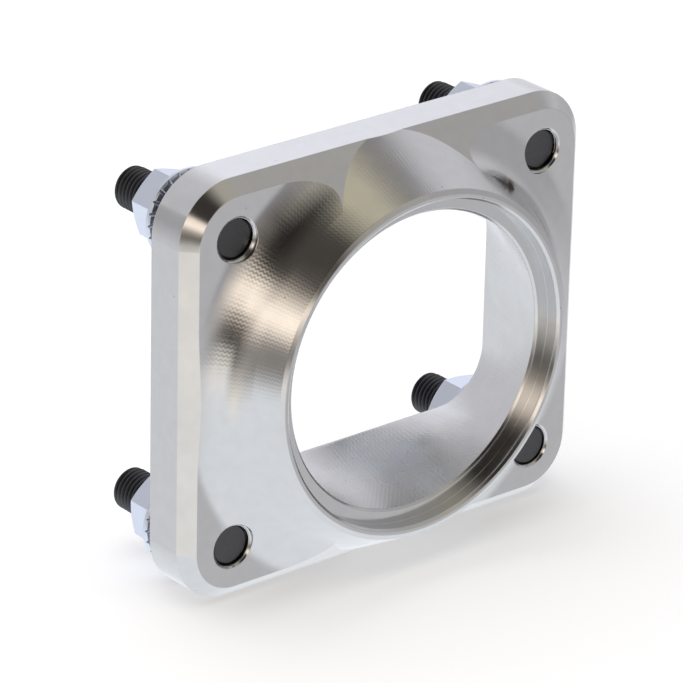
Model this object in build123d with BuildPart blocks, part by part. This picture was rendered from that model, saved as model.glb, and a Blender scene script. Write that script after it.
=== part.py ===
from build123d import *
import math
import os

# Weld flange that takes a round tube at the front and opens into a rounded rectangle at the back.
# Millimetres. The bore runs along Y from front to back, and Y = 0 is the shoulder that the tube's
# end stands on. X is to the right and Z is up, seen from the front. The flange stands on its long
# bottom edge.

# Studs and their places: a rectangle of four, each as far in from both edges of the plate
STUD_SPACING_X = 86.8
STUD_SPACING_Z = 73.2
EDGE_MARGIN = 13.2
STUD_DIAMETER = 10.0
STUD_LENGTH = 36.5
STUD_POINT = 0.6
HOLE_COUNTERSINK = 0.35

# Plate
PLATE_THICKNESS = 12.7
CORNER_RADIUS = 13.8
EDGE_CHAMFER = 3.2

# Hub: a cone with a blunt rim, and a round foot where it runs out on the plate
HUB_HEIGHT = 13.2
CONE_ANGLE = 29.5
FOOT_RADIUS = 14.0
RIM_FLAT = 0.83
RIM_CHAMFER_WIDTH = 1.1
RIM_CHAMFER_DROP = 0.45

# Socket for the tube's end, and the lip that the tube stands on
SOCKET_RADIUS = 38.5
SOCKET_DEPTH = 3.5
MOUTH_BREAK = 0.57
LIP_WIDTH = 3.5
LIP_BREAK = 0.5

# Port in the back face
PORT_WIDTH = 78.0
PORT_HEIGHT = 53.4
PORT_CORNER_RADIUS = 12.85

# Serrated flange nuts
NUT_ACROSS_FLATS = 15.0
NUT_HEIGHT = 10.0
NUT_CHAMFER_ANGLE = 25.0
NUT_FACE_DIAMETER = 14.7
NUT_COUNTERSINK = 0.4
NUT_FLANGE_DIAMETER = 21.8
NUT_FLANGE_RIM = 1.1
NUT_FLANGE_EDGE = 0.35
NUT_FLANGE_ANGLE = 25.0
SERRATION_COUNT = 24
SERRATION_DEPTH = 0.45
SERRATION_INNER_RADIUS = 6.4

# How far each stud's front point lies under the land, as they were screwed in
STUD_RECESS = {"top_left": 1.1, "top_right": 1.3, "bottom_left": 1.1, "bottom_right": 0.8}

# How far each nut's serrated face stands off the back face, where the nuts were left
NUT_STANDOFF = {"top_left": 4.1, "top_right": 4.7, "bottom_left": 4.4, "bottom_right": 4.4}

# How far each nut is turned, in degrees from the X axis to one of its corners
NUT_TURN = {"top_left": 44.5, "top_right": 38.5, "bottom_left": 38.0, "bottom_right": 54.0}

BACKWARD = (0, 1, 0)
BORE_AXIS = Axis((0, 0, 0), BACKWARD)

# Places that follow from the sizes above
rim_y = -SOCKET_DEPTH
land_y = rim_y + HUB_HEIGHT
back_y = land_y + PLATE_THICKNESS
plate_width = STUD_SPACING_X + 2 * EDGE_MARGIN
plate_height = STUD_SPACING_Z + 2 * EDGE_MARGIN
stud_radius = STUD_DIAMETER / 2
half_x = STUD_SPACING_X / 2
half_z = STUD_SPACING_Z / 2
STUD_PLACES = {
    "top_left": (-half_x, half_z),
    "top_right": (half_x, half_z),
    "bottom_left": (-half_x, -half_z),
    "bottom_right": (half_x, -half_z),
}

rim_inner_radius = SOCKET_RADIUS + MOUTH_BREAK
rim_outer_radius = rim_inner_radius + RIM_FLAT
crest_radius = rim_outer_radius + RIM_CHAMFER_WIDTH
lip_radius = SOCKET_RADIUS - LIP_WIDTH
cone_slope = math.tan(math.radians(CONE_ANGLE))


def cone_radius(y):
    """Radius of the hub's cone at the place y along the bore."""
    return crest_radius + (y - rim_y - RIM_CHAMFER_DROP) * cone_slope


def front_plane(y):
    """Plane across the bore at the place y along it, as the front sees it: x right, y up."""
    return Plane.XZ.offset(-y)


# The foot's arc touches the plate's land and the cone, both at foot_reach from where they meet.
# It is wide enough to lift the plate's front a little beside each stud hole.
foot_reach = FOOT_RADIUS / math.tan(math.radians((90 + CONE_ANGLE) / 2))
foot_land_radius = cone_radius(land_y) + foot_reach
foot_height = foot_reach * math.cos(math.radians(CONE_ANGLE))
foot_cone_radius = cone_radius(land_y - foot_height)

# Hub: the turned cone, cut off at the plate's four sides, which it just reaches
with BuildPart() as hub:
    with BuildSketch(Plane.XY):
        with BuildLine():
            Polyline(
                (0, rim_y),
                (rim_outer_radius, rim_y),
                (crest_radius, rim_y + RIM_CHAMFER_DROP),
                (cone_radius(land_y + EDGE_CHAMFER), land_y + EDGE_CHAMFER),
                (0, land_y + EDGE_CHAMFER),
                close=True,
            )
        make_face()
    revolve(axis=BORE_AXIS)
    with BuildSketch(front_plane(rim_y)):
        Rectangle(plate_width, plate_height)
    extrude(amount=HUB_HEIGHT + PLATE_THICKNESS, dir=BACKWARD, mode=Mode.INTERSECT)

# The plate's chamfer planes, carried forward past the foot, trim the foot on all four sides
with BuildPart() as chamfer_planes:
    with BuildSketch(front_plane(land_y - foot_height)):
        Rectangle(plate_width, plate_height)
    extrude(amount=foot_height + PLATE_THICKNESS, dir=BACKWARD)
    chamfer(chamfer_planes.faces().sort_by(Axis.Y)[0].edges(), foot_height + EDGE_CHAMFER)

# Foot: the hollow fillet between the cone and the land
with BuildPart() as foot:
    with BuildSketch(Plane.XY):
        with BuildLine():
            RadiusArc(
                (foot_cone_radius, land_y - foot_height),
                (foot_land_radius, land_y),
                FOOT_RADIUS,
            )
            Polyline(
                (foot_land_radius, land_y),
                (foot_land_radius, land_y + EDGE_CHAMFER),
                (lip_radius, land_y + EDGE_CHAMFER),
                (lip_radius, land_y - foot_height),
                (foot_cone_radius, land_y - foot_height),
            )
        make_face()
    revolve(axis=BORE_AXIS)
    add(chamfer_planes.part, mode=Mode.INTERSECT)

# Port: the round lip blends into the rounded rectangle, arc to arc and arc to side. Each edge of
# one outline is joined to its match in the other by straight lines, so the walls are ruled faces.
port_x = PORT_WIDTH / 2
port_z = PORT_HEIGHT / 2
side_z = port_z - PORT_CORNER_RADIUS
side_x = port_x - PORT_CORNER_RADIUS
side_angle = math.degrees(math.atan2(side_z, port_x))
top_angle = math.degrees(math.atan2(port_z, side_x))
quarter_angles = [side_angle, top_angle, 180 - top_angle, 180 - side_angle]
split_angles = quarter_angles + [angle + 180 for angle in quarter_angles]
arc_turns = [after - before for before, after in zip(split_angles, split_angles[1:])]
arc_turns.append(360 + split_angles[0] - split_angles[-1])

lip_edges = []
with BuildSketch(front_plane(LIP_BREAK)) as lip_outline:
    with BuildLine():
        for start, turn in zip(split_angles, arc_turns):
            lip_edges.append(CenterArc((0, 0), lip_radius, start, turn))
    make_face()

with BuildSketch(front_plane(back_y)) as port_outline:
    with BuildLine():
        port_edges = [
            CenterArc((side_x, side_z), PORT_CORNER_RADIUS, 0, 90),
            Line((side_x, port_z), (-side_x, port_z)),
            CenterArc((-side_x, side_z), PORT_CORNER_RADIUS, 90, 90),
            Line((-port_x, side_z), (-port_x, -side_z)),
            CenterArc((-side_x, -side_z), PORT_CORNER_RADIUS, 180, 90),
            Line((-side_x, -port_z), (side_x, -port_z)),
            CenterArc((side_x, -side_z), PORT_CORNER_RADIUS, 270, 90),
            Line((port_x, -side_z), (port_x, side_z)),
        ]
    make_face()

lip_location = front_plane(LIP_BREAK).location
port_location = front_plane(back_y).location
port_walls = [
    Face.make_surface_from_curves((lip_location * near).edge(), (port_location * far).edge())
    for near, far in zip(lip_edges, port_edges)
]
port = Solid(Shell([*port_walls, lip_outline.sketch.face(), port_outline.sketch.face()]))

# Flange body: plate, hub and foot in one, with the socket, the port and the stud holes cut
with BuildPart() as flange_body:
    with BuildSketch(front_plane(land_y)):
        RectangleRounded(plate_width, plate_height, CORNER_RADIUS)
    extrude(amount=PLATE_THICKNESS, dir=BACKWARD)
    chamfer(flange_body.faces().sort_by(Axis.Y)[0].edges(), EDGE_CHAMFER)
    add(hub.part)
    add(foot.part)
    with BuildSketch(Plane.XY):
        with BuildLine():
            Polyline(
                (0, rim_y),
                (rim_inner_radius, rim_y),
                (SOCKET_RADIUS, rim_y + MOUTH_BREAK),
                (SOCKET_RADIUS, 0),
                (lip_radius + LIP_BREAK, 0),
                (lip_radius, LIP_BREAK),
                (0, LIP_BREAK),
                close=True,
            )
        make_face()
    revolve(axis=BORE_AXIS, mode=Mode.SUBTRACT)
    add(port, mode=Mode.SUBTRACT)
    with BuildSketch(front_plane(rim_y)):
        with Locations(*STUD_PLACES.values()):
            Circle(stud_radius)
    extrude(amount=HUB_HEIGHT + PLATE_THICKNESS, dir=BACKWARD, mode=Mode.SUBTRACT)
    # The mouths: countersunk, with the countersink's width carried forward through the foot
    for x, z in STUD_PLACES.values():
        with BuildSketch(Plane((x, land_y, z))):
            with BuildLine():
                Polyline(
                    (0, -HUB_HEIGHT),
                    (stud_radius + HOLE_COUNTERSINK, -HUB_HEIGHT),
                    (stud_radius + HOLE_COUNTERSINK, 0),
                    (stud_radius, HOLE_COUNTERSINK),
                    (0, HOLE_COUNTERSINK),
                    close=True,
                )
            make_face()
        revolve(axis=Axis((x, land_y, z), BACKWARD), mode=Mode.SUBTRACT)

flange_body.part.label = "flange_body"
os.makedirs("parts", exist_ok=True)
export_step(flange_body.part, "parts/flange_body.step")

# Studs: flat points, chamfered, screwed in until the front one lies just under the land
for place, (x, z) in STUD_PLACES.items():
    with BuildPart() as stud:
        with BuildSketch(front_plane(land_y + STUD_RECESS[place])):
            with Locations((x, z)):
                Circle(stud_radius)
        extrude(amount=STUD_LENGTH, dir=BACKWARD)
        chamfer(stud.edges().filter_by(GeomType.CIRCLE), STUD_POINT)

    stud.part.label = f"stud_{place}"
    export_step(stud.part, f"parts/{stud.part.label}.step")

# Flange nuts: heights are measured back from the serrated face that would bear on the joint
nut_flange_radius = NUT_FLANGE_DIAMETER / 2
nut_corner_radius = NUT_ACROSS_FLATS / 2 / math.cos(math.radians(30))
nut_top_radius = NUT_FACE_DIAMETER / 2
nut_chamfer_drop = (nut_corner_radius - nut_top_radius) * math.tan(math.radians(NUT_CHAMFER_ANGLE))
nut_neck_radius = NUT_ACROSS_FLATS / 2
nut_flange_rise = (nut_flange_radius - nut_neck_radius) * math.tan(math.radians(NUT_FLANGE_ANGLE))
nut_bearing_radius = nut_flange_radius - NUT_FLANGE_EDGE
serration_length = nut_bearing_radius + NUT_FLANGE_EDGE - SERRATION_INNER_RADIUS
serration_side = SERRATION_DEPTH * math.sqrt(2)

for place, (x, z) in STUD_PLACES.items():
    nut_seat_y = back_y + NUT_STANDOFF[place]
    nut_axis = Axis((x, nut_seat_y, z), BACKWARD)
    with BuildPart(Plane((x, nut_seat_y, z), x_dir=(1, 0, 0), z_dir=(0, -1, 0))) as flange_nut:
        with BuildSketch(front_plane(nut_seat_y)):
            with Locations((x, z)):
                RegularPolygon(NUT_ACROSS_FLATS / 2, 6, major_radius=False, rotation=NUT_TURN[place])
        extrude(amount=NUT_HEIGHT, dir=BACKWARD)
        with BuildSketch(Plane((x, nut_seat_y, z))):
            with BuildLine():
                Polyline(
                    (0, 0),
                    (nut_corner_radius, 0),
                    (nut_corner_radius, NUT_HEIGHT - nut_chamfer_drop),
                    (nut_top_radius, NUT_HEIGHT),
                    (0, NUT_HEIGHT),
                    close=True,
                )
            make_face()
        revolve(axis=nut_axis, mode=Mode.INTERSECT)
        with BuildSketch(Plane((x, nut_seat_y, z))):
            with BuildLine():
                Polyline(
                    (0, 0),
                    (nut_bearing_radius, 0),
                    (nut_flange_radius, NUT_FLANGE_EDGE),
                    (nut_flange_radius, NUT_FLANGE_RIM),
                    (nut_neck_radius, NUT_FLANGE_RIM + nut_flange_rise),
                    (0, NUT_FLANGE_RIM + nut_flange_rise),
                    close=True,
                )
            make_face()
        revolve(axis=nut_axis)
        with BuildSketch(Plane((x, nut_seat_y, z))):
            with BuildLine():
                Polyline(
                    (0, 0),
                    (stud_radius + NUT_COUNTERSINK, 0),
                    (stud_radius, NUT_COUNTERSINK),
                    (stud_radius, NUT_HEIGHT - NUT_COUNTERSINK),
                    (stud_radius + NUT_COUNTERSINK, NUT_HEIGHT),
                    (0, NUT_HEIGHT),
                    close=True,
                )
            make_face()
        revolve(axis=nut_axis, mode=Mode.SUBTRACT)
        with PolarLocations(SERRATION_INNER_RADIUS + serration_length / 2, SERRATION_COUNT):
            Box(
                serration_length,
                serration_side,
                serration_side,
                rotation=(45, 0, 0),
                mode=Mode.SUBTRACT,
            )

    flange_nut.part.label = f"flange_nut_{place}"
    export_step(flange_nut.part, f"parts/{flange_nut.part.label}.step")
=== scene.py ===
# %% [markdown]
# # Weld flange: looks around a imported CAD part
# The flange is one milled block of steel with a conical hub, four black studs and four bright
# nuts. The CAD part already has every true shape, so this lesson keeps its flange and its nuts,
# and adds what a drawing leaves out: cut threads, tool marks, and the finish of each metal. Every
# length is in metres, in the frame of the CAD part: X to the right, Y back along the bore, Z up.

# %% Tools and the CAD frame
import math

import bmesh
import bpy
from mathutils import Euler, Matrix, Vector


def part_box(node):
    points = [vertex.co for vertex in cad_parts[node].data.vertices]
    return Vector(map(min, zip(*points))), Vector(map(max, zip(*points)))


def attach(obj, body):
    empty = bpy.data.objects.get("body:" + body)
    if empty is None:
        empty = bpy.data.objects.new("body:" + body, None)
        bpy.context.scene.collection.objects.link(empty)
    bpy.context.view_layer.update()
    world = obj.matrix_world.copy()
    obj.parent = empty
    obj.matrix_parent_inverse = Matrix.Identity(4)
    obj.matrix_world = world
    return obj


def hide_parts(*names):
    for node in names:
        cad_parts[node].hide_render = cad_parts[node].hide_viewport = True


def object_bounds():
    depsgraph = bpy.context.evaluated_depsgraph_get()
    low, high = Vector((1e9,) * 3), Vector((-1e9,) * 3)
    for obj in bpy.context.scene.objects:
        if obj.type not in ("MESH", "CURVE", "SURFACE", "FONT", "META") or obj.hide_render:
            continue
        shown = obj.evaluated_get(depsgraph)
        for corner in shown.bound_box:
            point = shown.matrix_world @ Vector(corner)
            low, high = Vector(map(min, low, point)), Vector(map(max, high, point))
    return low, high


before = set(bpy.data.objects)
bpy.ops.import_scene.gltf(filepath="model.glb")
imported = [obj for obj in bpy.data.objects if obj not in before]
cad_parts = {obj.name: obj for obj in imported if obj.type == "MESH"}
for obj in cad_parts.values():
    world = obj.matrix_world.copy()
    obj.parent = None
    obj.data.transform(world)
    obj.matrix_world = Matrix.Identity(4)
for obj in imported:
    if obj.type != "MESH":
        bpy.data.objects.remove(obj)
cad_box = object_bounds()
MM = 0.001
print("CAD nodes:", sorted(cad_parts))

# %% [markdown]
# ## Camera
# A product photographer stands well back with a long lens, so that parallel edges stay nearly
# parallel. A place and a lens could be tried by eye, but every reflection hangs on the view, so
# these come from fitting the CAD part's edges to the photograph. The photograph is square, so the
# sensor is fitted by its width.

# %% Camera
CAMERA_PLACE = Vector((-0.6562, -0.7642, 0.4542))
CAMERA_TURN = Euler([math.radians(angle) for angle in (65.924, -1.207, -39.165)], "XYZ")
FOCAL_LENGTH = 263.9
SENSOR_WIDTH = 36.0
NEAREST_SEEN = 0.01

camera_data = bpy.data.cameras.new("photo_camera")
camera_data.sensor_fit = "HORIZONTAL"
camera_data.sensor_width = SENSOR_WIDTH
camera_data.lens = FOCAL_LENGTH
camera_data.clip_start = NEAREST_SEEN
camera = bpy.data.objects.new("photo_camera", camera_data)
bpy.context.scene.collection.objects.link(camera)
camera.location = CAMERA_PLACE
camera.rotation_euler = CAMERA_TURN
bpy.context.scene.camera = camera
bpy.context.scene.view_settings.view_transform = "Standard"
print("camera stands", round(CAMERA_PLACE.length, 3), "m away")

# %% [markdown]
# ## Colours and nodes
# A colour picked off a screen is in sRGB, but a shader adds light, which is linear, so one
# function turns a hex value to linear. A second adds any node, with its settings and its links,
# which keeps each material down to a list of what feeds what. A socket goes by its name, or by
# its number where several share a name: on the mix node, 6 and 7 are its two colours.

# %% Helpers for colours and nodes
def linear(hex_colour):
    """Linear red, green, blue and alpha of an sRGB hex colour."""
    channels = [int(hex_colour[i : i + 2], 16) / 255 for i in (1, 3, 5)]
    return [c / 12.92 if c <= 0.04045 else ((c + 0.055) / 1.055) ** 2.4 for c in channels] + [1]


def add_node(tree, kind, inputs=None, **settings):
    """Adds a node; inputs maps a socket to a value or to the output that feeds it."""
    node = tree.nodes.new(kind)
    for name, value in settings.items():
        setattr(node, name, value)
    for socket, value in (inputs or {}).items():
        if isinstance(value, bpy.types.NodeSocket):
            tree.links.new(value, node.inputs[socket])
        else:
            node.inputs[socket].default_value = value
    return node


print("half way up the sRGB scale is only", round(linear("#808080")[0], 2), "of the light")

# %% [markdown]
# ## Milled steel
# The flange is mild steel, milled all over and left bare. Three tools leave three marks. A ball
# cutter swept the hub's cone and the walls of the port, and left low waves that run out from the
# bore. The socket and the rim were turned, which leaves fine rings. The flat faces were faced and
# show only a faint grain. All are some thousandths of a millimetre high at most, too low to model.
# A picture could hold them, but it blurs when the camera comes close, so they are formulas that
# add up to the height of one bump. Blender's Object coordinates are in metres, and the heights
# are easier to read in millimetres, so the first nodes scale the place up.

# %% Milled steel: places on the flange
steel = bpy.data.materials.new("milled_mild_steel")
steel.use_nodes = True
tree = steel.node_tree
tree.nodes.clear()

coordinates = add_node(tree, "ShaderNodeTexCoord").outputs["Object"]
in_mm = add_node(
    tree, "ShaderNodeVectorMath", {0: coordinates, "Scale": 1 / MM}, operation="SCALE"
).outputs[0]
split = add_node(tree, "ShaderNodeSeparateXYZ", {0: in_mm}).outputs
flat_place = add_node(tree, "ShaderNodeCombineXYZ", {0: split["X"], 1: split["Z"]}).outputs[0]
radius = add_node(
    tree, "ShaderNodeVectorMath", {0: flat_place}, operation="LENGTH"
).outputs["Value"]
turn = add_node(
    tree, "ShaderNodeMath", {0: split["Z"], 1: split["X"]}, operation="ARCTAN2"
).outputs[0]
depth = split["Y"]
print("milled steel reads", [n.bl_idname for n in tree.nodes])

# %% [markdown]
# Each tool's marks end where its faces end. The masks could be painted on the mesh, but the CAD
# part's mesh stays as it is, and every border is a plain circle or a plane across the bore. So a
# mask is a product of comparisons: 1 on the faces that the tool cut, and 0 everywhere else. The
# borders are the CAD part's own sizes in millimetres, taken a hair wide or narrow.
#
# The first mask is the hub's cone. The waves on it fade out before the flat land, where the hub's
# foot runs out on the plate.

# %% Milled steel: the hub's cone
FRONT_PLACE, BACK_PLACE = (corner.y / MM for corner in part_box("flange_body"))
HUB_HEIGHT = 13.2
HUB_INNER_RADIUS = 40.95
LAND_PLACE = FRONT_PLACE + HUB_HEIGHT
LAND_SLACK = 0.05
FADE_LENGTH = 1.5

outside_rim = add_node(
    tree, "ShaderNodeMath", {0: radius, 1: HUB_INNER_RADIUS}, operation="GREATER_THAN"
).outputs[0]
before_land = add_node(
    tree, "ShaderNodeMath", {0: depth, 1: LAND_PLACE + LAND_SLACK}, operation="LESS_THAN"
).outputs[0]
on_hub = add_node(
    tree, "ShaderNodeMath", {0: outside_rim, 1: before_land}, operation="MULTIPLY"
).outputs[0]
waves_fade = add_node(
    tree,
    "ShaderNodeMapRange",
    {
        "Value": depth,
        "From Min": LAND_PLACE - FADE_LENGTH,
        "From Max": LAND_PLACE,
        "To Min": 1,
        "To Max": 0,
    },
).outputs[0]
on_cone = add_node(
    tree, "ShaderNodeMath", {0: on_hub, 1: waves_fade}, operation="MULTIPLY"
).outputs[0]
print("the plate's land lies", round(LAND_PLACE, 3), "mm behind the shoulder")

# %% [markdown]
# The port's walls lie behind the lip and inside a circle that just holds the port's corners. That
# circle takes in a strip of the cone as well, so the cone's mask is taken off.

# %% Milled steel: the walls of the port
PORT_OUTER_RADIUS = 46.0
PORT_START = 0.5
PORT_END = BACK_PLACE - 0.1

inside_port = add_node(
    tree, "ShaderNodeMath", {0: radius, 1: PORT_OUTER_RADIUS}, operation="LESS_THAN"
).outputs[0]
past_lip = add_node(
    tree, "ShaderNodeMath", {0: depth, 1: PORT_START}, operation="GREATER_THAN"
).outputs[0]
before_back = add_node(
    tree, "ShaderNodeMath", {0: depth, 1: PORT_END}, operation="LESS_THAN"
).outputs[0]
in_port = add_node(
    tree, "ShaderNodeMath", {0: inside_port, 1: past_lip}, operation="MULTIPLY"
).outputs[0]
off_hub = add_node(
    tree, "ShaderNodeMath", {0: before_back, 1: on_hub}, operation="SUBTRACT", use_clamp=True
).outputs[0]
on_port = add_node(
    tree, "ShaderNodeMath", {0: in_port, 1: off_hub}, operation="MULTIPLY"
).outputs[0]
on_swept = add_node(
    tree, "ShaderNodeMath", {0: on_cone, 1: on_port}, operation="MAXIMUM"
).outputs[0]
print("the port's walls run from", PORT_START, "to", round(PORT_END, 3), "mm")

# %% [markdown]
# What is left in front of the lip and inside the crest of the hub was turned: the socket, its
# shoulder and the rim.

# %% Milled steel: the turned socket and rim
inside_crest = add_node(
    tree, "ShaderNodeMath", {0: radius, 1: HUB_INNER_RADIUS}, operation="LESS_THAN"
).outputs[0]
before_lip = add_node(
    tree, "ShaderNodeMath", {0: depth, 1: PORT_START}, operation="LESS_THAN"
).outputs[0]
on_turned = add_node(
    tree, "ShaderNodeMath", {0: inside_crest, 1: before_lip}, operation="MULTIPLY"
).outputs[0]
print("turned faces lie within", HUB_INNER_RADIUS, "mm of the axis")

# %% [markdown]
# The waves of the ball cutter are a sine of the turn about the bore. In the port the cutter took
# bigger steps than on the hub, so fewer waves go round. Each pass lies beside the last and starts
# a little off it, so a second sine, along the way out from the bore, shifts the first one to and
# fro and turns the waves into rows of small scales. A noise lets them wander.

# %% Milled steel: where the waves run
WAVE_PITCH = 0.95
WAVE_RADIUS = 46.0
WAVE_COUNT = round(2 * math.pi * WAVE_RADIUS / WAVE_PITCH)
PORT_WAVE_PITCH = 1.55
PORT_WAVE_RADIUS = 42.0
PORT_WAVE_COUNT = round(2 * math.pi * PORT_WAVE_RADIUS / PORT_WAVE_PITCH)
PASS_PITCH = 1.4
PASS_SHIFT = 1.1
WANDER = 2.0
WANDER_SIZE = 10 / 3

wander = add_node(
    tree,
    "ShaderNodeTexNoise",
    {"Vector": in_mm, "Scale": 1 / WANDER_SIZE, "Detail": 2.0, "Roughness": 0.6},
).outputs[0]
wander_phase = add_node(
    tree, "ShaderNodeMath", {0: wander, 1: WANDER}, operation="MULTIPLY"
).outputs[0]
way_out = add_node(
    tree, "ShaderNodeMath", {0: radius, 1: on_hub, 2: depth}, operation="MULTIPLY_ADD"
).outputs[0]
pass_phase = add_node(
    tree, "ShaderNodeMath", {0: way_out, 1: 2 * math.pi / PASS_PITCH}, operation="MULTIPLY"
).outputs[0]
pass_shift = add_node(tree, "ShaderNodeMath", {0: pass_phase}, operation="SINE").outputs[0]
wave_count = add_node(
    tree, "ShaderNodeMapRange", {"Value": on_port, "To Min": WAVE_COUNT, "To Max": PORT_WAVE_COUNT}
).outputs[0]
phase = add_node(
    tree,
    "ShaderNodeMath",
    {0: turn, 1: wave_count, 2: wander_phase},
    operation="MULTIPLY_ADD",
).outputs[0]
phase_shifted = add_node(
    tree, "ShaderNodeMath", {0: pass_shift, 1: PASS_SHIFT, 2: phase}, operation="MULTIPLY_ADD"
).outputs[0]
wave = add_node(tree, "ShaderNodeMath", {0: phase_shifted}, operation="SINE").outputs[0]
print("waves round the hub:", WAVE_COUNT, "and round the port:", PORT_WAVE_COUNT)

# %% [markdown]
# The bigger steps in the port also left higher waves. Neither kind shows evenly all over, so a
# broad noise makes the waves full in some patches and weak in others.

# %% Milled steel: how high the waves are
WAVE_HEIGHT = 0.0028
PORT_WAVE_HEIGHT = 0.007
PATCH_SIZE = 25 / 3
PATCH_LOW = 0.3
PATCH_HIGH = 0.7
WEAKEST_WAVE = 0.35

patchy = add_node(
    tree, "ShaderNodeTexNoise", {"Vector": in_mm, "Scale": 1 / PATCH_SIZE, "Detail": 1.0}
).outputs[0]
wave_strength = add_node(
    tree,
    "ShaderNodeMapRange",
    {
        "Value": patchy,
        "From Min": PATCH_LOW,
        "From Max": PATCH_HIGH,
        "To Min": WEAKEST_WAVE,
        "To Max": 1.0,
    },
).outputs[0]
full_height = add_node(
    tree, "ShaderNodeMapRange", {"Value": on_port, "To Min": WAVE_HEIGHT, "To Max": PORT_WAVE_HEIGHT}
).outputs[0]
wave_height = add_node(
    tree, "ShaderNodeMath", {0: wave_strength, 1: full_height}, operation="MULTIPLY"
).outputs[0]
swept_height = add_node(
    tree, "ShaderNodeMath", {0: wave, 1: wave_height}, operation="MULTIPLY"
).outputs[0]
swept = add_node(
    tree, "ShaderNodeMath", {0: swept_height, 1: on_swept}, operation="MULTIPLY"
).outputs[0]
print("waves are", WAVE_HEIGHT, "mm high on the hub and", PORT_WAVE_HEIGHT, "mm in the port")

# %% [markdown]
# A lathe tool cuts rings about the bore, so their noise reads only the radius and the place along
# the bore. The grain of the faced sides is a plain noise. Both are really some hundredths of a
# millimetre wide, too fine to show here, so they are drawn as coarse as it takes for them to show.

# %% Milled steel: rings and grain
RING_PITCH = 0.12
RING_HEIGHT = 0.0004
GRAIN_SIZE = 1 / 3
GRAIN_HEIGHT = 0.0008

ring_place = add_node(tree, "ShaderNodeCombineXYZ", {0: radius, 1: depth}).outputs[0]
rings = add_node(
    tree,
    "ShaderNodeTexNoise",
    {"Vector": ring_place, "Scale": 1 / RING_PITCH, "Detail": 1.0},
).outputs[0]
ring_height = add_node(
    tree, "ShaderNodeMath", {0: rings, 1: RING_HEIGHT}, operation="MULTIPLY"
).outputs[0]
turned = add_node(
    tree, "ShaderNodeMath", {0: ring_height, 1: on_turned, 2: swept}, operation="MULTIPLY_ADD"
).outputs[0]
grain = add_node(
    tree,
    "ShaderNodeTexNoise",
    {"Vector": in_mm, "Scale": 1 / GRAIN_SIZE, "Detail": 4.0, "Roughness": 0.7},
).outputs[0]
height = add_node(
    tree, "ShaderNodeMath", {0: grain, 1: GRAIN_HEIGHT, 2: turned}, operation="MULTIPLY_ADD"
).outputs[0]
print("rings", RING_PITCH, "mm apart, grain", round(GRAIN_SIZE, 2), "mm wide")

# %% [markdown]
# Bare milled steel is a neutral, bright metal with a faint grey haze. Handling leaves a few tiny
# nicks, which show as darker dots. They could be placed one by one, but a cell pattern scatters
# points all through the block, and the few that lie close under the surface make the dots.

# %% Milled steel: haze and nicks
STEEL = "#D5D5D6"
STEEL_HAZE = "#D2D2D3"
HAZE_LOW = 0.35
HAZE_HIGH = 0.65
STEEL_NICK = "#8E8C8A"
NICK_SPACING = 7.0
NICK_CORE_RADIUS = 0.105
NICK_RADIUS = 0.28
NICK_DARKNESS = 0.6

nick_distance = add_node(
    tree, "ShaderNodeTexVoronoi", {"Vector": in_mm, "Scale": 1 / NICK_SPACING}
).outputs["Distance"]
nick = add_node(
    tree,
    "ShaderNodeMapRange",
    {
        "Value": nick_distance,
        "From Min": NICK_CORE_RADIUS / NICK_SPACING,
        "From Max": NICK_RADIUS / NICK_SPACING,
        "To Min": NICK_DARKNESS,
        "To Max": 0.0,
    },
).outputs[0]
haze = add_node(
    tree, "ShaderNodeMapRange", {"Value": wander, "From Min": HAZE_LOW, "From Max": HAZE_HIGH}
).outputs[0]
hazed_colour = add_node(
    tree, "ShaderNodeMix", {"Factor": haze, 6: linear(STEEL), 7: linear(STEEL_HAZE)}, data_type="RGBA"
).outputs[2]
steel_colour = add_node(
    tree, "ShaderNodeMix", {"Factor": nick, 6: hazed_colour, 7: linear(STEEL_NICK)}, data_type="RGBA"
).outputs[2]
print("nicks up to", 2 * NICK_RADIUS, "mm across, from points", NICK_SPACING, "mm apart")

# %% [markdown]
# The roughness is a little uneven, and higher in the port, where the coarse steps blur what the
# walls mirror. Machinists break every edge. A real bevel would mean a new mesh, so the bevel node
# rounds the edges that the light sees instead, and the bump of the tool marks lies on top of it.

# %% Milled steel: surface
STEEL_SMOOTHEST = 0.11
STEEL_ROUGHEST = 0.19
PORT_ROUGHER = 0.12
EDGE_BREAK = 0.25 * MM
BEVEL_SAMPLES = 6

rough_map = add_node(
    tree,
    "ShaderNodeMapRange",
    {
        "Value": patchy,
        "From Min": PATCH_LOW,
        "From Max": PATCH_HIGH,
        "To Min": STEEL_SMOOTHEST,
        "To Max": STEEL_ROUGHEST,
    },
).outputs[0]
steel_rough = add_node(
    tree, "ShaderNodeMath", {0: on_port, 1: PORT_ROUGHER, 2: rough_map}, operation="MULTIPLY_ADD"
).outputs[0]
broken_edges = add_node(
    tree, "ShaderNodeBevel", {"Radius": EDGE_BREAK}, samples=BEVEL_SAMPLES
).outputs[0]
marks = add_node(
    tree,
    "ShaderNodeBump",
    {"Height": height, "Distance": MM, "Strength": 1.0, "Normal": broken_edges},
).outputs[0]
steel_shader = add_node(
    tree,
    "ShaderNodeBsdfPrincipled",
    {
        "Base Color": steel_colour,
        "Metallic": 1.0,
        "Roughness": steel_rough,
        "Normal": marks,
    },
)
add_node(tree, "ShaderNodeOutputMaterial", {0: steel_shader.outputs[0]})
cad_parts["flange_body"].material_slots[0].material = steel
print("milled steel has", len(tree.nodes), "nodes")

# %% [markdown]
# ## Zinc plated nuts
# The nuts are steel with a bright zinc plate, passivated blue. The plate is thin, so it follows
# the flats and the serrations of the CAD part, and it scatters light softly, in a cold bluish
# white. Its crystals are far too fine to show, so one coarser mottle stands for them, both in the
# roughness and as very shallow dents.

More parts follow.
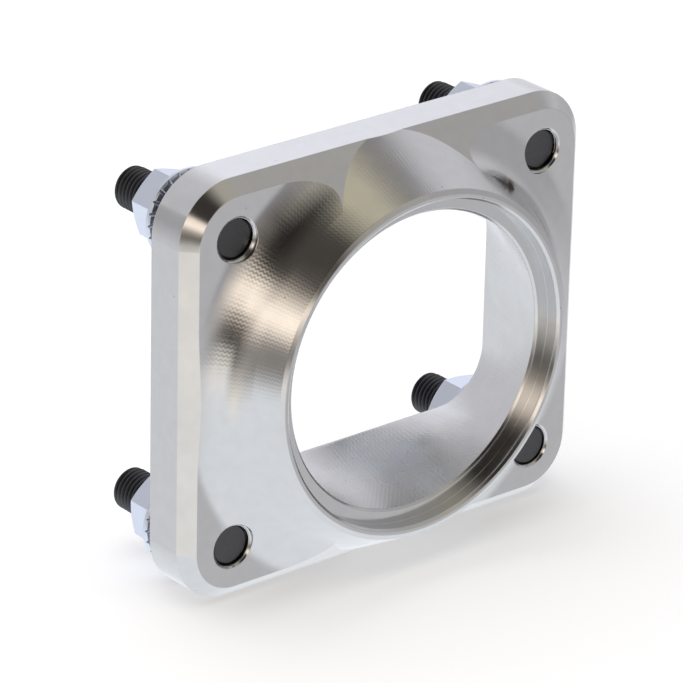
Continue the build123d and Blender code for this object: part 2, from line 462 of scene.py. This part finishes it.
# %% Zinc plate
ZINC = "#E6EDFB"
ZINC_SMOOTHEST = 0.34
ZINC_ROUGHEST = 0.46
ZINC_MOTTLE_SIZE = 5 / 3 * MM
ZINC_DENT_DEPTH = 0.003 * MM
ZINC_EDGE_BREAK = 0.15 * MM

zinc = bpy.data.materials.new("blue_passivated_zinc_plate")
zinc.use_nodes = True
tree = zinc.node_tree
tree.nodes.clear()
coordinates = add_node(tree, "ShaderNodeTexCoord").outputs["Object"]
mottle = add_node(
    tree,
    "ShaderNodeTexNoise",
    {"Vector": coordinates, "Scale": 1 / ZINC_MOTTLE_SIZE, "Detail": 3.0},
).outputs[0]
zinc_rough = add_node(
    tree,
    "ShaderNodeMapRange",
    {"Value": mottle, "To Min": ZINC_SMOOTHEST, "To Max": ZINC_ROUGHEST},
).outputs[0]
broken_edges = add_node(
    tree, "ShaderNodeBevel", {"Radius": ZINC_EDGE_BREAK}, samples=BEVEL_SAMPLES
).outputs[0]
dents = add_node(
    tree,
    "ShaderNodeBump",
    {"Height": mottle, "Distance": ZINC_DENT_DEPTH, "Strength": 1.0, "Normal": broken_edges},
).outputs[0]
zinc_shader = add_node(
    tree,
    "ShaderNodeBsdfPrincipled",
    {
        "Base Color": linear(ZINC),
        "Metallic": 1.0,
        "Roughness": zinc_rough,
        "Normal": dents,
    },
)
add_node(tree, "ShaderNodeOutputMaterial", {0: zinc_shader.outputs[0]})
PLACES = ("top_left", "top_right", "bottom_left", "bottom_right")
for place in PLACES:
    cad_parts[f"flange_nut_{place}"].material_slots[0].material = zinc
print("zinc plate on", len(PLACES), "nuts")

# %% [markdown]
# ## Black oxide studs
# The studs are blackened in a hot salt bath. The black layer is only a micron thick, so the steel
# under it still gives a satin gloss, darker and rougher than bare steel: a dark metal, and not a
# black paint. The bath leaves it a little uneven. A mottle of less than a millimetre, coarser
# than the real one so that it shows, moves the colour, the roughness and a slight bump together.

# %% Black oxide
OXIDE = "#515154"
OXIDE_PALER = "#626264"
OXIDE_SMOOTHEST = 0.32
OXIDE_ROUGHEST = 0.5
BATH_MOTTLE_SIZE = 5 / 6 * MM
BATH_MOTTLE_HEIGHT = 0.01 * MM

oxide = bpy.data.materials.new("black_oxide_steel")
oxide.use_nodes = True
tree = oxide.node_tree
tree.nodes.clear()
coordinates = add_node(tree, "ShaderNodeTexCoord").outputs["Object"]
bath_mottle = add_node(
    tree,
    "ShaderNodeTexNoise",
    {"Vector": coordinates, "Scale": 1 / BATH_MOTTLE_SIZE, "Detail": 3.0},
).outputs[0]
oxide_colour = add_node(
    tree,
    "ShaderNodeMix",
    {"Factor": bath_mottle, 6: linear(OXIDE), 7: linear(OXIDE_PALER)},
    data_type="RGBA",
).outputs[2]
oxide_rough = add_node(
    tree,
    "ShaderNodeMapRange",
    {"Value": bath_mottle, "To Min": OXIDE_SMOOTHEST, "To Max": OXIDE_ROUGHEST},
).outputs[0]
oxide_bump = add_node(
    tree,
    "ShaderNodeBump",
    {"Height": bath_mottle, "Distance": BATH_MOTTLE_HEIGHT, "Strength": 1.0},
).outputs[0]
oxide_shader = add_node(
    tree,
    "ShaderNodeBsdfPrincipled",
    {
        "Base Color": oxide_colour,
        "Metallic": 1.0,
        "Roughness": oxide_rough,
        "Normal": oxide_bump,
    },
)
add_node(tree, "ShaderNodeOutputMaterial", {0: oxide_shader.outputs[0]})
print("black oxide is rough from", OXIDE_SMOOTHEST, "to", OXIDE_ROUGHEST)

# %% [markdown]
# ## Threads
# A thread is one small trapezoid that climbs a cylinder. A bump could fake it, but its teeth show
# in the outline of each stud, so it is cut for real. Drawing the outline of many teeth along the
# stud and spinning it once round, rising by one pitch, lays each tooth on to the next. So the
# spin's own merge stays off, as it would join the end to the start, and the seam is merged by its
# doubles. The outline starts two teeth early and ends one late, so that both ends can be cut off
# square through whole turns. A metric fine thread of 1.25 mm suits the rings on the studs.

# %% Thread helper
PITCH = 1.25 * MM
THREAD_DEPTH = 0.767 * MM
CREST_FLAT = 1 / 8
ROOT_FLAT = 1 / 4
FLANK = (1 - CREST_FLAT - ROOT_FLAT) / 2
THREAD_STEPS = 72
TEETH_EARLY = 2
TEETH_LATE = 1
BORE_AXIS = (0, 1, 0)
MERGE_WITHIN = 0.001 * MM
CUT_WITHIN = 0.0001 * MM


def helix(first, last, crest, root):
    """A bmesh of a helical thread about Y, cut off square at the places first and last."""
    mesh = bmesh.new()
    teeth = math.ceil((last - first) / PITCH) + TEETH_EARLY + TEETH_LATE
    tooth = ((0, crest), (CREST_FLAT, crest), (CREST_FLAT + FLANK, root), (1 - FLANK, root))
    outline = [
        mesh.verts.new((reach, first + (count - TEETH_EARLY + share) * PITCH, 0))
        for count in range(teeth)
        for share, reach in tooth
    ]
    edges = [mesh.edges.new(pair) for pair in zip(outline, outline[1:])]
    bmesh.ops.spin(
        mesh,
        geom=outline + edges,
        cent=(0, 0, 0),
        axis=BORE_AXIS,
        dvec=(0, PITCH / THREAD_STEPS, 0),
        angle=2 * math.pi,
        steps=THREAD_STEPS,
        use_merge=False,
    )
    bmesh.ops.remove_doubles(mesh, verts=mesh.verts, dist=MERGE_WITHIN)
    for end, outward in ((first, -1), (last, 1)):
        bmesh.ops.bisect_plane(
            mesh,
            geom=mesh.verts[:] + mesh.edges[:] + mesh.faces[:],
            dist=CUT_WITHIN,
            plane_co=(0, end, 0),
            plane_no=(0, outward, 0),
            clear_outer=True,
        )
    return mesh


print("threads rise", PITCH / MM, "mm a turn, in", THREAD_STEPS, "steps")

# %% [markdown]
# Every new piece ends the same way: it moves to its place in its own mesh, its faces are turned
# outwards, and its smooth shading is broken at the sharp edges of the thread. Then it is given
# its finish and rides on the flange, so it goes wherever the CAD part goes.

# %% Finishing a piece
SHARP_ANGLE = math.radians(32)


def finish_piece(name, mesh, x, z, material):
    """Makes an object of the bmesh at x, z, gives it its finish and lets it ride on the part."""
    bmesh.ops.translate(mesh, verts=mesh.verts, vec=(x, 0, z))
    bmesh.ops.recalc_face_normals(mesh, faces=mesh.faces)
    data = bpy.data.meshes.new(name)
    mesh.to_mesh(data)
    mesh.free()
    data.shade_smooth()
    data.set_sharp_from_angle(angle=SHARP_ANGLE)
    data.materials.append(material)
    piece = bpy.data.objects.new(name, data)
    bpy.context.scene.collection.objects.link(piece)
    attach(piece, "root")
    print(name, len(data.polygons), "faces")
    return piece


print("shading breaks at edges of over", round(math.degrees(SHARP_ANGLE)), "degrees")

# %% [markdown]
# Each threaded stud takes the length and the place of its CAD node, which it replaces. Its crests
# lie a hundredth of a millimetre inside the CAD rod, so it stays within that node's box. The ends
# are closed, and then pulled in to the stud's chamfered point: a cone is easier to reach by
# moving the vertices inwards than by cutting the thread a second time. Two extra cuts across the
# rod at each end give the cone vertices to bend at.

# %% Studs
STUD_RADIUS = 4.99 * MM
POINT = 0.6 * MM

for place in PLACES:
    low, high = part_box(f"stud_{place}")
    middle = (low + high) / 2
    rod = helix(low.y, high.y, STUD_RADIUS, STUD_RADIUS - THREAD_DEPTH)
    for cut in (low.y + POINT / 2, low.y + POINT, high.y - POINT / 2, high.y - POINT):
        bmesh.ops.bisect_plane(
            rod,
            geom=rod.verts[:] + rod.edges[:] + rod.faces[:],
            dist=CUT_WITHIN,
            plane_co=(0, cut, 0),
            plane_no=BORE_AXIS,
        )
    open_edges = [edge for edge in rod.edges if edge.is_boundary]
    bmesh.ops.edgeloop_fill(rod, edges=open_edges)
    for vertex in rod.verts:
        reach = math.hypot(vertex.co.x, vertex.co.z)
        inward = min(vertex.co.y - low.y, high.y - vertex.co.y)
        allowed = STUD_RADIUS - POINT + inward
        if reach > allowed:
            vertex.co.x *= allowed / reach
            vertex.co.z *= allowed / reach
    stud = finish_piece(f"threaded_stud_{place}", rod, middle.x, middle.z, oxide)
    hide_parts(f"stud_{place}")

# %% [markdown]
# The holes are tapped right through, so in front of each stud's point the first turns of the
# hole's own thread show. Cutting them into the flange would mean a new mesh for the whole block,
# so each is a thin sleeve with the thread inside: the open ends of the helix are drawn out to the
# wall of the hole and joined. It ends a hair before the stud's point, so the two never touch.

# %% Threads in the holes
HOLE_CREST = 4.78 * MM
HOLE_WALL = 4.995 * MM
SLEEVE_WALL = 0.03 * MM
COUNTERSINK = 0.35 * MM
POINT_GAP = 0.02 * MM

for place in PLACES:
    low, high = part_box(f"stud_{place}")
    middle = (low + high) / 2
    sleeve_start = LAND_PLACE * MM + COUNTERSINK
    sleeve = helix(sleeve_start, low.y - POINT_GAP, HOLE_CREST, HOLE_WALL - SLEEVE_WALL)
    rims = [edge for edge in sleeve.edges if edge.is_boundary]
    drawn = bmesh.ops.extrude_edge_only(sleeve, edges=rims)["geom"]
    for vertex in (item for item in drawn if isinstance(item, bmesh.types.BMVert)):
        reach = math.hypot(vertex.co.x, vertex.co.z)
        vertex.co.x *= HOLE_WALL / reach
        vertex.co.z *= HOLE_WALL / reach
    outer = [edge for edge in sleeve.edges if edge.is_boundary]
    bmesh.ops.bridge_loops(sleeve, edges=outer)
    finish_piece(f"tapped_thread_{place}", sleeve, middle.x, middle.z, steel)

# %% [markdown]
# ## Floor
# The flange stands on a white table. The table is only as bright as the light on it, so for the
# camera a little of its own light brings it up to the white of the backdrop, and the shadow stays.
# The metal doesn't mirror the table, because the room that comes next has its own low cards.

# %% Floor
FLOOR_SIZE = 6.0
FLOOR_WHITE = "#F2F3F6"
FLOOR_LIFT = 0.3

floor_mesh = bmesh.new()
bmesh.ops.create_grid(floor_mesh, x_segments=1, y_segments=1, size=FLOOR_SIZE / 2)
bmesh.ops.translate(floor_mesh, verts=floor_mesh.verts, vec=(0, 0, cad_box[0][2]))
floor_data = bpy.data.meshes.new("floor")
floor_mesh.to_mesh(floor_data)
floor_mesh.free()
floor = bpy.data.objects.new("floor", floor_data)
bpy.context.scene.collection.objects.link(floor)

table_white = bpy.data.materials.new("matt_white_table")
table_white.use_nodes = True
tree = table_white.node_tree
tree.nodes.clear()
rays = add_node(tree, "ShaderNodeLightPath").outputs
lift = add_node(
    tree, "ShaderNodeMath", {0: rays["Is Camera Ray"], 1: FLOOR_LIFT}, operation="MULTIPLY"
).outputs[0]
matt = add_node(tree, "ShaderNodeBsdfDiffuse", {"Color": linear(FLOOR_WHITE)}).outputs[0]
glow = add_node(tree, "ShaderNodeEmission", {"Strength": lift}).outputs[0]
both = add_node(tree, "ShaderNodeAddShader", {0: matt, 1: glow}).outputs[0]
add_node(tree, "ShaderNodeOutputMaterial", {0: both})
floor_data.materials.append(table_white)
floor.visible_glossy = False
print("floor at", round(cad_box[0][2], 4))

# %% [markdown]
# ## Studio
# Bare metal has no look of its own: it shows the room. The room here is a white tent with a grey
# ceiling, a warm strip light low on the left, and a black flag on each side of the strip. In the
# photograph the strip makes the peach streak on the hub, and the flags make the dark bands that
# give the hub its shape. Real cards and lamps could stand round the flange, but they would have to
# be moved by hand for every change, so the room is painted on the world instead.
#
# Most of the cards run towards one point, low in front on the right, which is what the flat land
# mirrors. So the room is laid out like a clock face about that point. Each ring is so many degrees
# away from the point, and lists which card stands at which turn about it, also in degrees.

# %% World: the cards of the room
TENT = "#CDD0D3"
TOP_LIGHT = "#DBDBE2"
LOW_LIGHT = "#DED9D0"
PALE_WALL = "#B5B5B8"
GREY_CEILING = "#979697"
CREAM_WALL = "#ADA792"
OLIVE_WALL = "#9A968B"
BROWN_WALL = "#797570"
TAUPE_WALL = "#56524E"
SMOKED_FLAG = "#3E3A36"
BLACK_FLAG = "#22201E"
WARM_STRIP = "#FFF0DE"
FRONT_CARD = "#A9A9AA"
print("the room's lightest card is", WARM_STRIP, "and its darkest", BLACK_FLAG)

# %% [markdown]
# Between two cards of a ring the light blends from one to the other, and a card that is named
# twice in a row keeps its colour in between. The strip and the flags show in the rings from 50 to
# 138 degrees, at slightly different turns, because they don't quite run towards the point.

# %% World: where the cards stand
RINGS = {
    14: (
        (-170, PALE_WALL), (-138, GREY_CEILING), (-36, GREY_CEILING), (-20, TAUPE_WALL),
        (-7, GREY_CEILING), (3, GREY_CEILING), (12, PALE_WALL), (45, TENT), (150, TENT),
    ),
    50: (
        (-178, PALE_WALL), (-155, GREY_CEILING), (-90, GREY_CEILING), (-50, OLIVE_WALL),
        (-42, OLIVE_WALL), (-25, SMOKED_FLAG), (-14, SMOKED_FLAG), (-8, WARM_STRIP),
        (-4, WARM_STRIP), (4, TAUPE_WALL), (9, TAUPE_WALL), (16, LOW_LIGHT), (28, TENT),
        (150, TENT),
    ),
    65: (
        (-170, GREY_CEILING), (-125, PALE_WALL), (-98, GREY_CEILING), (-56, OLIVE_WALL),
        (-36, TAUPE_WALL), (-26, BLACK_FLAG), (-13, BLACK_FLAG), (-8, WARM_STRIP),
        (-2, WARM_STRIP), (5, BLACK_FLAG), (12, BLACK_FLAG), (19, LOW_LIGHT), (34, TENT),
        (150, TENT),
    ),
    80: (
        (-155, GREY_CEILING), (-130, PALE_WALL), (-114, PALE_WALL), (-99, GREY_CEILING),
        (-75, OLIVE_WALL), (-60, OLIVE_WALL), (-43, BLACK_FLAG), (-13, BLACK_FLAG),
        (-8, WARM_STRIP), (0, WARM_STRIP), (8, BLACK_FLAG), (16, BLACK_FLAG),
        (37, LOW_LIGHT), (48, TENT), (165, TENT),
    ),
    110: (
        (-165, TOP_LIGHT), (-142, TOP_LIGHT), (-108, PALE_WALL), (-99, TAUPE_WALL),
        (-93, TAUPE_WALL), (-80, CREAM_WALL), (-70, CREAM_WALL), (-51, SMOKED_FLAG),
        (-16, SMOKED_FLAG), (2, WARM_STRIP), (7, WARM_STRIP), (19, BROWN_WALL),
        (33, BROWN_WALL), (47, TENT), (140, TENT), (160, TOP_LIGHT),
    ),
    138: (
        (-160, PALE_WALL), (-120, PALE_WALL), (-95, GREY_CEILING), (-75, GREY_CEILING),
        (-52, SMOKED_FLAG), (-34, SMOKED_FLAG), (-22, TAUPE_WALL), (3, WARM_STRIP),
        (12, WARM_STRIP), (22, BROWN_WALL), (30, BROWN_WALL), (48, PALE_WALL),
        (105, PALE_WALL), (128, TENT), (150, PALE_WALL),
    ),
    160: (
        (-120, PALE_WALL), (-80, BROWN_WALL), (60, GREY_CEILING), (110, GREY_CEILING),
        (150, PALE_WALL),
    ),
}
print("world rings at", list(RINGS), "degrees")

# %% [markdown]
# To read the clock, every direction needs two numbers: its turn about the mirrored point, and its
# angle away from it. Three axes give both. One points at the mirrored point, one square to it
# towards the strip light, which is turn zero, and one square to both.

# %% World: turn about the mirrored point, and angle away from it
LAND_MIRROR = Vector((0.590, -0.696, -0.409)).normalized()
STRIP_WAY = Vector((-0.867, -0.265, 0.423))
strip_side = (STRIP_WAY - STRIP_WAY.dot(LAND_MIRROR) * LAND_MIRROR).normalized()
flag_side = LAND_MIRROR.cross(strip_side)

world = bpy.data.worlds.new("studio")
bpy.context.scene.world = world
world.use_nodes = True
tree = world.node_tree
tree.nodes.clear()
way = add_node(tree, "ShaderNodeTexCoord").outputs["Generated"]
along, across, towards = (
    add_node(
        tree, "ShaderNodeVectorMath", {0: way, 1: axis}, operation="DOT_PRODUCT"
    ).outputs["Value"]
    for axis in (strip_side, flag_side, LAND_MIRROR)
)
turn_about = add_node(
    tree, "ShaderNodeMath", {0: across, 1: along}, operation="ARCTAN2"
).outputs[0]
ramp_place = add_node(
    tree,
    "ShaderNodeMapRange",
    {"Value": turn_about, "From Min": -math.pi, "From Max": math.pi},
).outputs[0]
angle_away = add_node(tree, "ShaderNodeMath", {0: towards}, operation="ARCCOSINE").outputs[0]
print("the strip lies towards", tuple(round(part, 2) for part in strip_side))

# %% [markdown]
# Each ring is a colour ramp round the clock, and each blends into the next one out. The camera
# itself sees plain white in place of the room, as the backdrop of a product photograph, while the
# metal goes on mirroring the cards.

# %% World: rings, each blended into the next, and white for the camera
WORLD_STRENGTH = 1.6
FRONT_CARD_REACH = 5


def ring_colour(cards):
    """Colour of a ring at each turn; its last card blends into its first across the seam."""
    (first, first_card), (last, last_card) = cards[0], cards[-1]
    share = (180 - last) / (first + 360 - last)
    seam = [a + (b - a) * share for a, b in zip(linear(last_card), linear(first_card))]
    stops = [(-180, seam), *((degrees, linear(card)) for degrees, card in cards), (180, seam)]
    ramp = add_node(tree, "ShaderNodeValToRGB", {0: ramp_place})
    elements = ramp.color_ramp.elements
    while len(elements) < len(stops):
        elements.new(0.5)
    for element, (degrees, _) in zip(elements, stops):
        element.position = (degrees + 180) / 360
    for element, (_, colour) in zip(elements, stops):
        element.color = colour
    return ramp.outputs[0]


room_colour = linear(FRONT_CARD)
inner_edge = FRONT_CARD_REACH
for away, cards in RINGS.items():
    blend = add_node(
        tree,
        "ShaderNodeMapRange",
        {"Value": angle_away, "From Min": math.radians(inner_edge), "From Max": math.radians(away)},
    ).outputs[0]
    room_colour = add_node(
        tree,
        "ShaderNodeMix",
        {"Factor": blend, 6: room_colour, 7: ring_colour(cards)},
        data_type="RGBA",
    ).outputs[2]
    inner_edge = away
rays = add_node(tree, "ShaderNodeLightPath").outputs
room = add_node(
    tree, "ShaderNodeBackground", {"Color": room_colour, "Strength": WORLD_STRENGTH}
).outputs[0]
backdrop = add_node(tree, "ShaderNodeBackground", {"Color": linear("#FFFFFF")}).outputs[0]
seen = add_node(
    tree, "ShaderNodeMixShader", {0: rays["Is Camera Ray"], 1: room, 2: backdrop}
).outputs[0]
add_node(tree, "ShaderNodeOutputWorld", {0: seen})
print("world has", len(tree.nodes), "nodes")

# %% [markdown]
# One large soft lamp above lights the table and gives the flange its soft shadow. Metal would
# mirror it as a bright disc that isn't in the photograph, so the lamp is kept out of reflections.

# %% Lamp
LAMP_PLACE = Vector((-0.25, 0.15, 1.0))
LAMP_SIZE = 1.6
LAMP_WATTS = 7.0

lamp_data = bpy.data.lights.new("softbox", "AREA")
lamp_data.shape = "DISK"
lamp_data.size = LAMP_SIZE
lamp_data.energy = LAMP_WATTS
lamp = bpy.data.objects.new("softbox", lamp_data)
bpy.context.scene.collection.objects.link(lamp)
lamp.location = LAMP_PLACE
lamp.rotation_euler = LAMP_PLACE.to_track_quat("Z", "Y").to_euler()
lamp.visible_glossy = False
lamp.visible_camera = False
print("lamp at", tuple(round(part, 2) for part in LAMP_PLACE))
